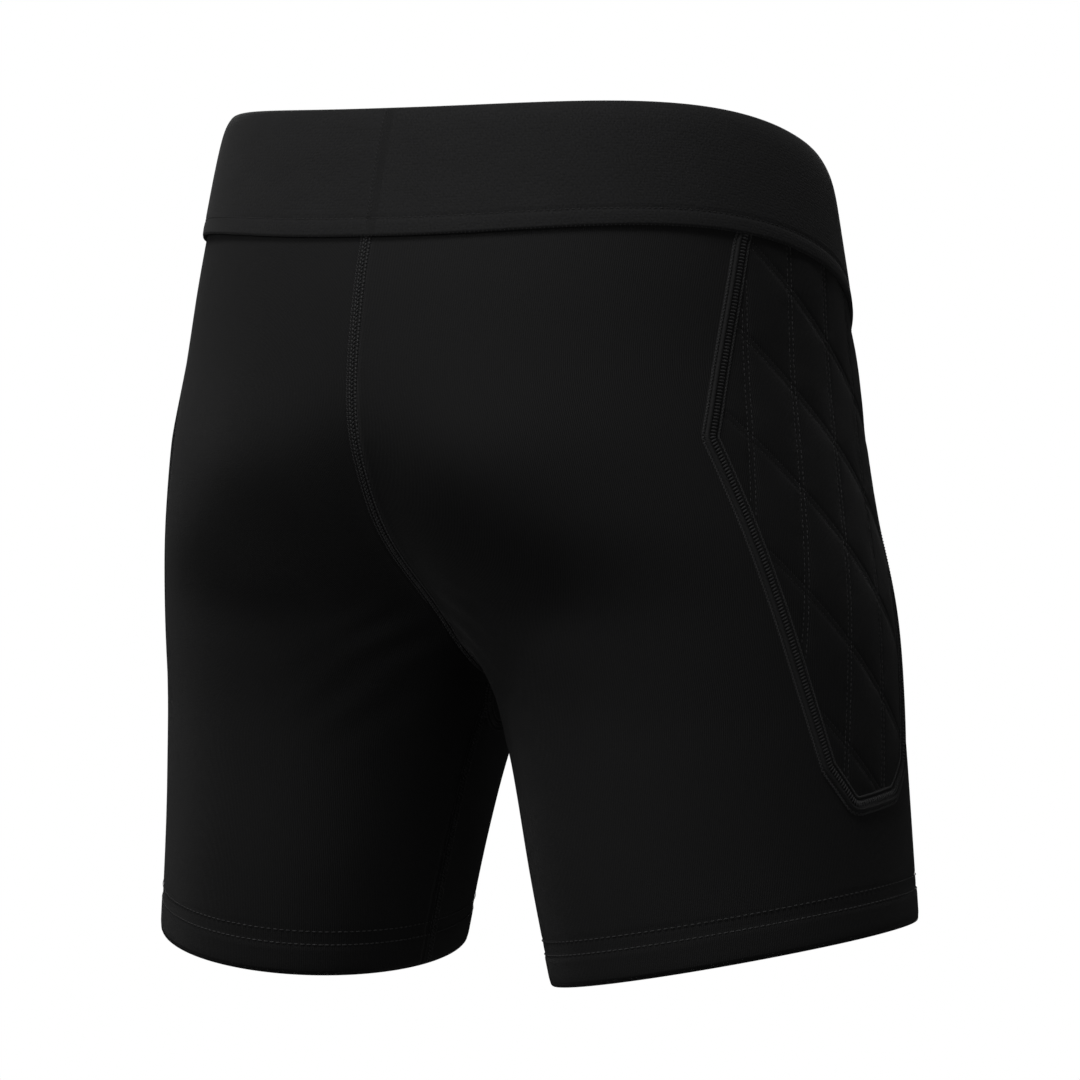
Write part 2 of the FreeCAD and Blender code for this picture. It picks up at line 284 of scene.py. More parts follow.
def under_skin(x, y):
    """Points and outward normals of the crotch, found from straight below by halving the depth."""
    bridged = np.hypot(x, BRIDGE)
    low, high = np.full_like(bridged, 120.0), np.full_like(bridged, 340.0)

    def on_section(depth):
        turn, across = leg_turn(depth), bridged - measure("centre", depth)
        lateral = (across * np.cos(turn) + y * np.sin(turn)) / measure("side", depth)
        forward = y * np.cos(turn) - across * np.sin(turn)
        deep = np.where(forward > 0, measure("back", depth), measure("front", depth))
        return lateral, forward / deep

    for _ in range(34):
        middle = (low + high) / 2
        inside = np.hypot(*on_section(middle)) < 1
        low, high = np.where(inside, middle, low), np.where(inside, high, middle)
    lateral, forward = on_section(low)
    point, normal = skin(np.arctan2(forward, lateral), low)
    return point * side_signs(x), normal * side_signs(x)


# ---------------------------------------------------------------- outlines

def rounded_path(corners, radius):
    """A dense closed line through corner points with each corner replaced by an arc."""
    corners = np.array(corners, float)
    path = []
    for i, corner in enumerate(corners):
        back, ahead = unit(corners[i - 1] - corner), unit(corners[(i + 1) % len(corners)] - corner)
        half = math.acos(np.clip(back @ ahead, -1, 1)) / 2
        centre = corner + unit(back + ahead) * radius / math.sin(half)
        first = corner + back * radius / math.tan(half) - centre
        last = corner + ahead * radius / math.tan(half) - centre
        share = np.linspace(0, 1, 9)[:, None]
        path.append(centre + unit(first * (1 - share) + last * share) * radius)
    path.append(path[0][:1])
    return spaced(np.concatenate(path), 1.0)


def run(points):
    """Distance along a line at each of its points."""
    return np.concatenate([[0], np.cumsum(np.linalg.norm(np.diff(points, axis=0), axis=1))])


def spaced(path, step):
    """A line's points again, evenly spaced."""
    along = run(path)
    at = np.linspace(0, along[-1], int(along[-1] / step) + 1)
    return np.stack([np.interp(at, along, path[:, k]) for k in range(path.shape[1])], -1)


def outside(path, points):
    """Distance of flat points from a closed outline, negative inside."""
    start, step = path[:-1], np.diff(path, axis=0)
    length = (step ** 2).sum(1)
    nearest = np.full(len(points), 1e9)
    crossed = np.zeros(len(points), bool)
    for a, d, size in zip(start, step, length):
        away = points - a
        share = np.clip(away @ d / size, 0, 1)
        nearest = np.minimum(nearest, np.linalg.norm(away - share[:, None] * d, axis=1))
        between = (a[1] > points[:, 1]) != (a[1] + d[1] > points[:, 1])
        height = d[1] if d[1] else 1e-9
        crossed ^= between & (points[:, 0] < a[0] + d[0] * (points[:, 1] - a[1]) / height)
    return np.where(crossed, -nearest, nearest)


def mirrored_corners(half):
    return half + [(-across, height) for across, height in half[::-1]]


hip_corners = mirrored_corners(HIP_CORNERS)
foot_y, foot_z = hip_corners[len(HIP_CORNERS)]
hip_corners[len(HIP_CORNERS)] = (foot_y, foot_z + HIP_TIP_LIFT)
HIP_PATH = rounded_path(hip_corners, HIP_RADIUS)
POUCH_PATH = rounded_path(mirrored_corners(POUCH_CORNERS), POUCH_RADIUS)
FAR = 1e3


def hip_field(point):
    """Distance from the hip panel's seam line, negative on the panel."""
    away = outside(HIP_PATH, point[:, 1:])
    return np.where(point[:, 0] > FORK_CENTRE, away, FAR)


def pouch_field(point):
    """Distance from the front pouch's seam line, negative on the pouch."""
    away = outside(POUCH_PATH, point[:, ::2])
    return np.where(point[:, 1] < 0, away, FAR)


def gusset_field(point):
    """Positive outside the crotch gusset's oval."""
    along = (point[:, 1] - GUSSET_MIDDLE) / GUSSET_HALF_LENGTH
    away = np.hypot(point[:, 0] / GUSSET_HALF_WIDTH, along) - 1
    below = (point[:, 2] < GUSSET_TOP) & (point[:, 2] > GUSSET_FOOT)
    return np.where(below, away * GUSSET_HALF_WIDTH, FAR)


# ---------------------------------------------------------------- mesh work

def grid_faces(rows, columns, around=False):
    """Quads of a grid of points in row order; around joins its last column to its first."""
    reach = columns if around else columns - 1
    row, column = np.meshgrid(np.arange(rows - 1), np.arange(reach), indexing="ij")
    after = (column + 1) % columns
    quads = [row * columns + column, (row + 1) * columns + column, (row + 1) * columns + after,
             row * columns + after]
    return np.stack(quads, -1).reshape(-1, 4).tolist()


def flipped(faces):
    """The same faces seen from their other side."""
    return [face[::-1] for face in faces]


def clipped(params, faces, value):
    """Keeps the part of a mesh where value is positive, cutting its faces along the zero line."""
    made, cut_at, kept = list(params), {}, []
    for face in faces:
        inside = [value[i] >= 0 for i in face]
        if all(inside):
            kept.append(face)
        elif any(inside):
            corners = []
            for k, a in enumerate(face):
                b = face[(k + 1) % len(face)]
                if inside[k]:
                    corners.append(a)
                if (value[a] >= 0) != (value[b] >= 0):
                    key = (min(a, b), max(a, b))
                    if key not in cut_at:
                        cut_at[key] = len(made)
                        made.append(params[a] + (params[b] - params[a]) * value[a] / (value[a] - value[b]))
                    corners.append(cut_at[key])
            kept.append(corners)
    return np.array(made), kept


def compact(params, faces):
    """Drops the points that no face uses."""
    used = np.unique(np.concatenate([np.asarray(face) for face in faces]))
    place = np.zeros(len(params), int)
    place[used] = np.arange(len(used))
    return params[used], [[int(place[i]) for i in face] for face in faces]


class Mesh:
    """Points in millimetres, faces, a flat cloth coordinate for each point and a finish for each face."""

    def __init__(self, points, faces, cloth, finish=0):
        self.points, self.faces, self.cloth = np.asarray(points, float), faces, np.asarray(cloth, float)
        self.finish = [finish] * len(faces) if isinstance(finish, int) else finish

    def mirrored(self):
        faces = flipped(self.faces)
        return Mesh(self.points * [-1, 1, 1], faces, self.cloth * [-1, 1], self.finish)


def joined(meshes, finishes=None):
    """Several meshes as one; finishes gives each mesh's place in the piece's list of materials."""
    points, faces, cloth, finish, first = [], [], [], [], 0
    for i, mesh in enumerate(meshes):
        points.append(mesh.points)
        cloth.append(mesh.cloth)
        faces += [[k + first for k in face] for face in mesh.faces]
        finish += [finishes[i]] * len(mesh.faces) if finishes else mesh.finish
        first += len(mesh.points)
    return Mesh(np.concatenate(points), faces, np.concatenate(cloth), finish)


def add_object(name, mesh, *materials):
    data = bpy.data.meshes.new(name)
    data.from_pydata((mesh.points * MM).tolist(), [], mesh.faces)
    layer = data.uv_layers.new(name="cloth")
    corner = np.zeros(len(data.loops), np.int32)
    data.loops.foreach_get("vertex_index", corner)
    layer.data.foreach_set("uv", (mesh.cloth[corner] * MM).astype(np.float32).ravel())
    data.polygons.foreach_set("use_smooth", [True] * len(data.polygons))
    data.polygons.foreach_set("material_index", mesh.finish)
    for material in materials:
        data.materials.append(material)
    data.update()
    obj = bpy.data.objects.new(name, data)
    bpy.context.collection.objects.link(obj)
    return obj


def add_piece(node, mesh, material, thickness=0.0):
    """One visible piece in place of the CAD node of the same name; cloth gets its thickness inwards."""
    materials = material if isinstance(material, tuple) else (material,)
    obj = add_object(node + "_cloth" if thickness else node + "_detail", mesh, *materials)
    if thickness:
        solid = obj.modifiers.new("thickness", "SOLIDIFY")
        solid.thickness = thickness * MM
        solid.offset = -1
        solid.use_even_offset = False
    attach(obj, "root")
    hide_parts(node)
    return obj


def add_pair(name, mesh, material, thickness=0.0):
    left = add_piece("left_" + name, mesh, material, thickness)
    right = add_piece("right_" + name, mesh.mirrored(), material, thickness)
    return [left, right]


# ---------------------------------------------------------------- seams and stitches

class Path:
    """A line on the skin: points and outward normals."""

    def __init__(self, points, normals, closed=False):
        self.points, self.normals, self.closed = points, normals, closed

    def ring(self):
        """The whole ring of which this is the left half, back to front."""
        mirror = np.array([-1, 1, 1])
        points = np.concatenate([self.points, (self.points * mirror)[-2:0:-1]])
        normals = np.concatenate([self.normals, (self.normals * mirror)[-2:0:-1]])
        return Path(points, normals, True)

    def only(self, keep):
        return Path(self.points[keep], self.normals[keep], False)

    def stations(self, pitch, first=0.0):
        """Evenly spaced centres along the line with their tangents, sides and normals."""
        points, normals = self.points, self.normals
        if self.closed:
            points = np.concatenate([points, points[:1]])
            normals = np.concatenate([normals, normals[:1]])
        along = run(points)
        if self.closed:
            count = max(3, round(along[-1] / pitch))
            at = (np.arange(count) + first / pitch) * along[-1] / count % along[-1]
        else:
            at = np.arange(first, along[-1], pitch)

        def read(values, places):
            return np.stack([np.interp(places, along, values[:, k]) for k in range(3)], -1)

        reach = 0.6
        ahead, behind = np.clip(at + reach, 0, along[-1]), np.clip(at - reach, 0, along[-1])
        normal = unit(read(normals, at))
        tangent = unit(read(points, ahead) - read(points, behind))
        tangent = unit(tangent - normal * (tangent * normal).sum(-1, keepdims=True))
        return read(points, at), tangent, np.cross(normal, tangent), normal, at


def dashes(path, pitch, length, radius, aside=0.0, lift=0.0, angle=0.0, first=0.0, arch=0.0, sides=6):
    """A row of short thread stitches along a path; each is a bent capsule whose ends dip in."""
    centre, tangent, side, normal, at = path.stations(pitch, first)
    spine = np.linspace(-1, 1, 6)
    swell = radius * np.sqrt(np.maximum(1 - 0.82 * spine ** 2, 0.05))
    turn = np.arange(sides) * 2 * math.pi / sides
    along = np.repeat(spine * length / 2, sides)
    across = (swell[:, None] * np.cos(turn)).ravel()
    height = (swell[:, None] * np.sin(turn) + (arch * (1 - spine ** 2))[:, None]).ravel() + lift
    ends = [[-length / 2 - 0.3 * radius, 0, lift], [length / 2 + 0.3 * radius, 0, lift]]
    local = np.concatenate([np.stack([along, across, height], -1), ends])
    angle = np.resize(np.asarray(angle, float), len(centre))
    forward = tangent * np.cos(angle)[:, None] + side * np.sin(angle)[:, None]
    sideways = np.cross(normal, forward)
    base = centre + side * aside
    points = (base[:, None] + forward[:, None] * local[:, 0, None] + sideways[:, None] * local[:, 1, None]
              + normal[:, None] * local[:, 2, None])
    faces = []
    for ring in range(len(spine) - 1):
        for k in range(sides):
            a, b = ring * sides + k, ring * sides + (k + 1) % sides
            faces.append([a, b, b + sides, a + sides])
    last = len(spine) * sides
    for k in range(sides):
        faces.append([last, (k + 1) % sides, k])
        faces.append([last + 1, last - sides + k, last - sides + (k + 1) % sides])
    every = [[i + n * len(local) for i in face] for n in range(len(centre)) for face in faces]
    cloth = np.stack([at[:, None] + local[:, 0], np.full((len(at), len(local)), aside) + local[:, 1]], -1)
    return Mesh(points.reshape(-1, 3), every, cloth.reshape(-1, 2))


def zigzag(path, pitch, width, radius, aside=0.0, lift=0.0):
    """A zigzag of thread: stitches that lean one way and the other."""
    lean = math.atan2(width, pitch / 2)
    length = math.hypot(width, pitch / 2)
    return dashes(path, pitch / 2, length, radius, aside, lift, np.array([lean, -lean]))


def ribbon(path, profile, step=1.2):
    """A closed section of (across, height) points carried along a path."""
    centre, _tangent, side, normal, at = path.stations(step)
    profile = np.array(profile, float)
    points = centre[:, None] + side[:, None] * profile[:, 0, None] + normal[:, None] * profile[:, 1, None]
    rows, columns = len(centre), len(profile)
    faces = flipped(grid_faces(rows, columns, around=True))
    if path.closed:
        last = (rows - 1) * columns
        for k in range(columns):
            after = (k + 1) % columns
            faces.append([last + after, after, k, last + k])
    else:
        faces.append(list(range(columns)))
        faces.append(list(range((rows - 1) * columns, rows * columns))[::-1])
    cloth = np.stack([np.repeat(at, columns), np.tile(profile[:, 0], rows)], -1)
    return Mesh(points.reshape(-1, 3), faces, cloth)


# ---------------------------------------------------------------- cloth of the two halves

def panel_mesh():
    """The body panel of the left half, from under the band down to where the hem turns in."""
    columns, rows = 270, 210
    u = np.linspace(0, 1, columns)
    top = depth_on(below_waist(BAND_HEIGHT - BAND_OVERLAP), u)
    bottom = depth_on(above_hem(1.0), u)
    share = np.linspace(0, 1, rows)[:, None]
    depth = top + (bottom - top) * share
    angle = half_angles(u, depth)
    cloth = np.stack([girth(angle, depth), depth], -1)
    params = np.concatenate([angle[..., None], depth[..., None], cloth], -1).reshape(-1, 4)
    faces = grid_faces(rows, columns)
    for field in (hip_field, pouch_field, gusset_field):
        params, faces = clipped(params, faces, field(skin(params[:, 0], params[:, 1])[0]))
        params, faces = compact(params, faces)
    points, normals = skin(params[:, 0], params[:, 1])
    faces = flipped(faces)
    return Mesh(points + normals * body_relief(points)[:, None], faces, params[:, 2:])


def girth(angle, depth):
    """Distance round the half from its outer side, along each row of a grid."""
    points = skin(angle, depth)[0]
    steps = np.linalg.norm(np.diff(points, axis=1), axis=2)
    along = np.concatenate([np.zeros((len(points), 1)), np.cumsum(steps, axis=1)], axis=1)
    start = np.array([np.interp(0, row[::-1], place[::-1]) for row, place in zip(angle, along)])
    return start[:, None] - along


# centre x, side (front -1 or back 1), centre z, lean, pitch, height, half width, half height
CREASES = [
    (22, 1, -238, 0.55, 15, 0.55, 22, 16),
    (38, 1, -268, 0.9, 24, 0.45, 26, 22),
    (30, -1, -255, -0.6, 20, 0.5, 24, 20),
]


def body_relief(point):
    """Small wrinkles, and the doubled hem pinched by its rows of stitches, as heights along the normal."""
    x, y, z = point[:, 0], point[:, 1], point[:, 2]
    lift = (above_hem(0.0)(point) + z) / HEM_SLOPE
    height = 0.45 / (1 + np.exp(np.clip((lift - HEM_ROWS[1]) / 0.35, -30, 30))) * np.clip(lift / 4, 0, 1)
    for row in HEM_ROWS:
        height -= 0.35 * np.exp(-((lift - row) / 0.7) ** 2)
    for cx, cy, cz, lean, pitch, size, wide, tall in CREASES:
        near = np.exp(-((x - cx) / wide) ** 2 - ((z - cz) / tall) ** 2) * (np.sign(cy) * y > 0)
        height += size * near * np.cos(2 * math.pi * ((z - cz) + lean * (x - cx)) / pitch)
    return height


def hem_mesh():
    """The hem: the last of the panel, its rounded turn, and the turned-up layer inside."""
    columns = 270
    u = np.linspace(0, 1, columns)
    turn = np.linspace(-0.5 * math.pi, 0.5 * math.pi, 9)
    radius = 1.1
    rows = []
    points, normals = skin(half_angles(u, depth_on(above_hem(1.0), u)), depth_on(above_hem(1.0), u))
    down = unit(np.array([HEM_SIDE_RISE, -HEM_BACK_DROP, -1.0]))
    for a in turn:
        rows.append(points - normals * radius * (1 + math.sin(a)) + down * (math.cos(a) * radius))
    inner = []
    for lift in np.linspace(2.5, HEM_FOLD, 14):
        depth = depth_on(above_hem(lift), u)
        inside, outward = skin(half_angles(u, depth), depth)
        inner.append(inside - outward * 2 * radius)
    rows = np.array(rows + inner)
    cloth = np.zeros(rows.shape[:2] + (2,))
    cloth[..., 0] = girth(half_angles(u, depth)[None], depth[None])
    cloth[..., 1] = np.linspace(0, HEM_FOLD + 3, len(rows))[:, None] + HEM_DEPTH
    faces = flipped(grid_faces(len(rows), columns))
    return Mesh(rows.reshape(-1, 3), faces, cloth.reshape(-1, 2))


# ---------------------------------------------------------------- the hip pad

def quilt_lines(y, z):
    """Distance from the nearest leaning upright and from the nearest slanting line."""
    upright = (y + QUILT_LEAN * z) / QUILT_SPACING - QUILT_PHASE
    upright = np.abs(upright - np.round(upright)) * QUILT_SPACING / math.hypot(1, QUILT_LEAN)
    slant = (y - z - SLANT_START) / SLANT_SPACING
    slant = np.abs(slant - np.round(slant)) * SLANT_SPACING / math.sqrt(2)
    return upright, slant


def sewn_distance(y, z):
    """Distance from the nearest line where the pad is sewn flat: quilting, seam or band."""
    upright, slant = quilt_lines(y, z)
    edge = -outside(HIP_PATH, np.stack([y, z], -1).reshape(-1, 2)).reshape(y.shape) - 4.5
    under_band = waist_height(y) - BAND_HEIGHT + 4 - z
    return np.minimum(np.minimum(upright, slant), np.minimum(edge, under_band))


PUFF_CAP = 1.8
SEWN_REACH = 1.7     # cloth nearer than this to a sewn line is held
PUFF_PRESSURE, PUFF_FRAMES = 1500, 20
PAD_STEP = 2.0
PAD_Y = np.arange(-90, 90.1, PAD_STEP)
PAD_Z = np.arange(-330, -4, PAD_STEP)


def puff_by_cloth():
    """Heights of the quilted pad: cloth sewn down along its lines and blown up from behind."""
    z, y = np.meshgrid(PAD_Z, PAD_Y, indexing="ij")
    away = sewn_distance(y, z)
    points, normals = skin(side_angle(y, -z), -z)
    faces = flipped(grid_faces(*y.shape))
    mesh = Mesh(points.reshape(-1, 3), faces, np.stack([y, z], -1).reshape(-1, 2))
    obj = add_object("pad_to_blow_up", mesh)
    sewn = obj.vertex_groups.new(name="sewn")
    sewn.add(np.flatnonzero((away < SEWN_REACH).ravel()).tolist(), 1.0, "REPLACE")
    cloth = obj.modifiers.new("cloth", "CLOTH")
    settings = cloth.settings
    settings.vertex_group_mass = "sewn"
    settings.quality = 6
    settings.mass = 0.15
    settings.tension_stiffness = 12
    settings.compression_stiffness = 12
    settings.shear_stiffness = 4
    settings.bending_stiffness = 2.0
    settings.use_pressure = True
    settings.uniform_pressure_force = PUFF_PRESSURE
    settings.effector_weights.gravity = 0
    cloth.collision_settings.use_collision = False
    scene = bpy.context.scene
    for step in range(1, PUFF_FRAMES + 1):
        scene.frame_set(step)
    shown = obj.evaluated_get(bpy.context.evaluated_depsgraph_get()).to_mesh()
    moved = np.zeros(len(shown.vertices) * 3, np.float32)
    shown.vertices.foreach_get("co", moved)
    scene.frame_set(1)
    data = obj.data
    bpy.data.objects.remove(obj)
    bpy.data.meshes.remove(data)
    rise = ((moved.reshape(-1, 3) / MM - points.reshape(-1, 3)) * normals.reshape(-1, 3)).sum(-1)
    return np.clip(rise.reshape(y.shape), 0, PUFF_CAP)


def read_grid(heights, y, z):
    """Smoothly interpolated heights of the pad grid at any places."""
    def weights(t):
        return np.stack([-t ** 3 + 3 * t ** 2 - 3 * t + 1, 3 * t ** 3 - 6 * t ** 2 + 4,
                         -3 * t ** 3 + 3 * t ** 2 + 3 * t + 1, t ** 3]) / 6

    column, row = (y - PAD_Y[0]) / PAD_STEP, (z - PAD_Z[0]) / PAD_STEP
    i = np.clip(np.floor(row).astype(int), 1, len(PAD_Z) - 3)
    j = np.clip(np.floor(column).astype(int), 1, len(PAD_Y) - 3)
    down, across = weights(row - i), weights(column - j)
    total = np.zeros(np.shape(y))
    for a in range(4):
        for b in range(4):
            total += down[a] * across[b] * heights[i + a - 1, j + b - 1]
    return total


PUFF = puff_by_cloth()


def pad_height(y, z):
    """Height of the quilted cover: its puff, less the bite of the twin rows of stitches."""
    upright, slant = quilt_lines(y, z)
    bite = 0.0
    for away in (upright, slant):
        bite = bite + 0.5 * np.exp(-((away - QUILT_ROW_GAP / 2) / 0.55) ** 2)
    inside = np.clip(sewn_distance(y, z) + 2, 0, 1)
    return read_grid(PUFF, y, z) - bite * inside


def side_patch(step, inset, top_lower):
    """A fine mesh of the hip panel: y and z parameters, and its faces."""
    y, z = np.meshgrid(np.arange(-84, 84.1, step), np.arange(-326, -6, step))
    params, faces = np.stack([y, z], -1).reshape(-1, 2), grid_faces(*y.shape)
    faces = flipped(faces)
    params, faces = compact(*clipped(params, faces, -outside(HIP_PATH, params) - inset))
    below = waist_height(params[:, 0]) - top_lower - params[:, 1]
    return compact(*clipped(params, faces, below))


def side_mesh(params, faces, height):
    """The patch laid on the outer side of the half, its points so high over the skin."""
    y, z = params.T
    points, normals = skin(side_angle(y, -z), -z)
    return Mesh(points + normals * height[:, None], faces, params)


def cover_mesh():
    params, faces = side_patch(1.0, 0.0, BAND_HEIGHT - BAND_OVERLAP)
    return side_mesh(params, faces, pad_height(*params.T))


def foam_mesh():
    """The pad's foam, thinner along its edge, with the quilting pressed in."""
    params, faces = side_patch(2.0, FOAM_INSET, BAND_HEIGHT - 2)
    edge = -outside(HIP_PATH, params) - FOAM_INSET
    height = -1.3 - 1.6 * np.exp(-edge / 2.5) + 0.8 * np.clip(pad_height(*params.T), 0, None)
    return side_mesh(params, faces, height)


def lining_mesh():
    """The mesh lining behind the foam, rising to the seam all round."""
    params, faces = side_patch(2.0, 1.0, BAND_HEIGHT - BAND_OVERLAP)
    edge = -outside(HIP_PATH, params) - 1.0
    behind = np.clip(edge / 6.0, 0, 1)
    depth = 1.4 + 6.2 * behind * behind * (3 - 2 * behind)
    return side_mesh(params, faces, -depth)


def hip_path(top_lower):
    """The panel's seam line on the skin, from under the band behind, round the toe, to the front."""
    order = HIP_PATH[:-1]
    start = int(np.argmin(np.abs(order[:, 0]) + np.where(order[:, 1] > -100, 0, 1e6)))
    order = np.roll(order, -start, axis=0)
    if order[len(order) // 4, 0] < 0:
        order = order[::-1]
    y, z = order.T
    points, normals = skin(side_angle(y, -z), -z)
    return Path(points, normals).only(z < waist_height(y) - top_lower)


# ---------------------------------------------------------------- front pouch and gusset

def pouch_mesh(out):
    step = 1.6
    x = np.arange(-70, 70.1, step)
    top = depth_on(below_waist(BAND_HEIGHT - BAND_OVERLAP), np.abs(x), front_angle)
    share = np.linspace(0, 1, 120)[:, None]
    depth = top + (248 - top) * share
    params = np.stack([np.broadcast_to(x, depth.shape), depth], -1).reshape(-1, 2)
    faces = grid_faces(*depth.shape)

    def place(params):
        points, normals = skin(front_angle(np.abs(params[:, 0]), params[:, 1]), params[:, 1])
        mirror = side_signs(params[:, 0])
        return points * mirror, normals * mirror

    for field, sign in ((pouch_field, -1), (gusset_field, 1)):
        params, faces = compact(*clipped(params, faces, sign * field(place(params)[0])))
    points, normals = place(params)
    return Mesh(points + normals * out, faces, params)


def gusset_mesh():
    rings, columns = 26, 150
    ring, around = np.meshgrid(np.linspace(0.02, 1, rings), np.arange(columns) * 2 * math.pi / columns,
                               indexing="ij")
    x = GUSSET_HALF_WIDTH * ring * np.cos(around)
    y = GUSSET_MIDDLE + GUSSET_HALF_LENGTH * ring * np.sin(around)
    points, _normals = under_skin(x, y)
    faces = grid_faces(rings, columns, around=True) + [list(range(columns))]
    faces = flipped(faces)
    return Mesh(points.reshape(-1, 3), faces, np.stack([x, y], -1).reshape(-1, 2))


def gusset_path():
    around = np.linspace(0, 2 * math.pi, 241)[:-1]
    y = GUSSET_MIDDLE + GUSSET_HALF_LENGTH * np.sin(around)
    return Path(*under_skin(GUSSET_HALF_WIDTH * np.cos(around), y), True)


def pouch_path(top_lower):
    """The left seam of the pouch, from under the band to the gusset."""
    half = POUCH_PATH[(POUCH_PATH[:, 0] > 0)]
    half = half[np.argsort(-half[:, 1], kind="stable")]
    x, z = half.T
    points, normals = skin(front_angle(x, -z), -z)
    keep = (z < waist_height(points[:, 1]) - top_lower) & (gusset_field(points) > 0)
    return Path(points, normals).only(keep)


def inseam_path():
    depth = np.arange(235.0, 420.0, 1.0)
    turn = leg_turn(depth)
    side, back = measure("side", depth), measure("back", depth)
    reach = np.hypot(side * np.sin(turn), back * np.cos(turn))
    angle = math.pi - np.arcsin(INSEAM_BACK / reach) - np.arctan2(side * np.sin(turn), back * np.cos(turn))
    points, normals = skin(angle, depth)
    keep = (gusset_field(points) > 0) & (depth < above_hem(1.0)(points)) & (points[:, 0] > 1)
    return Path(points, normals).only(keep)


def centre_back_path(top_lower):
    depth = np.arange(0.0, 330.0, 1.0)
    points, normals = skin(half_range(depth)[0], depth)
    keep = (points[:, 2] < waist_height(points[:, 1]) - top_lower) & (gusset_field(points) > 0)
    keep &= points[:, 0] < 1
    return Path(points * [0, 1, 1], unit(normals * [0, 1, 1])).only(keep)


def hem_path(higher):
    """A closed line round the left leg, so far above the hem's edge."""
    angle = np.linspace(-math.pi, math.pi, 301)[:-1]
    depth = np.full_like(angle, float(HEM_DEPTH))
    for _ in range(14):
        depth = above_hem(higher)(skin(angle, depth)[0])
    return Path(*skin(angle, depth), True)


def waist_path(lower, out):
    """A closed line round the waist, so far below the band's top edge."""
    u = np.linspace(0, 1, 260)
    depth = depth_on(below_waist(lower), u)
    points, normals = skin(half_angles(u, depth), depth)
    points = points + normals * out
    points[[0, -1], 0] = 0
    return Path(points, normals).ring()


# ---------------------------------------------------------------- waistband

BAND_IN, BAND_OUT = 0.25, 2.35
BAND_ROLL, BAND_ROLL_REACH = 3.4, 5.0


def band_profile():
    """The band's section as (below the top edge, out from the skin): outer face, edges and back."""
    radius = (BAND_OUT - BAND_IN) / 2
    middle = (BAND_OUT + BAND_IN) / 2
    turn = np.linspace(0, math.pi, 9)
    outer = np.linspace(radius, BAND_HEIGHT - radius, 64)
    groove = BAND_HEIGHT - BAND_STITCH_LIFT
    ridge = 0.15 * np.exp(-((outer - groove - 3.8) / 2.4) ** 2)
    relief = ridge - 0.4 * np.exp(-((outer - groove) / 0.8) ** 2)
    bottom = np.stack([BAND_HEIGHT - radius + radius * np.sin(turn), middle + radius * np.cos(turn)], -1)
    top = np.stack([radius - radius * np.sin(turn), middle - radius * np.cos(turn)], -1)
    back = np.linspace(BAND_HEIGHT - radius, radius, 16)[1:-1]
    return np.concatenate([np.stack([outer, BAND_OUT + relief], -1), bottom[1:],
                           np.stack([back, np.full(len(back), BAND_IN)], -1), top[:-1]])


def band_roll(lower):
    """How far the band leans inwards near its free top edge."""
    return BAND_ROLL * math.exp(-lower / BAND_ROLL_REACH)


def band_mesh():
    columns = 300
    u = np.linspace(0, 1, columns)
    rows, cloth = [], []
    for lower, out in band_profile():
        depth = depth_on(below_waist(lower), u)
        angle = half_angles(u, depth)
        points, normals = skin(angle, depth)
        points = points + normals * (out - band_roll(lower))
        points[[0, -1], 0] = 0
        rows.append(np.concatenate([points, (points * [-1, 1, 1])[-2:0:-1]]))
        along = girth(angle[None], depth[None])[0]
        along = np.concatenate([along, -along[-2:0:-1]])
        cloth.append(np.stack([along, np.full(2 * columns - 2, lower)], -1))
    around = 2 * columns - 2
    faces = grid_faces(len(rows), around, around=True)
    last = (len(rows) - 1) * around
    for k in range(around):
        after = (k + 1) % around
        faces.append([last + k, k, after, last + after])
    faces = flipped(faces)
    return Mesh(np.concatenate(rows), faces, np.concatenate(cloth))


# ---------------------------------------------------------------- materials

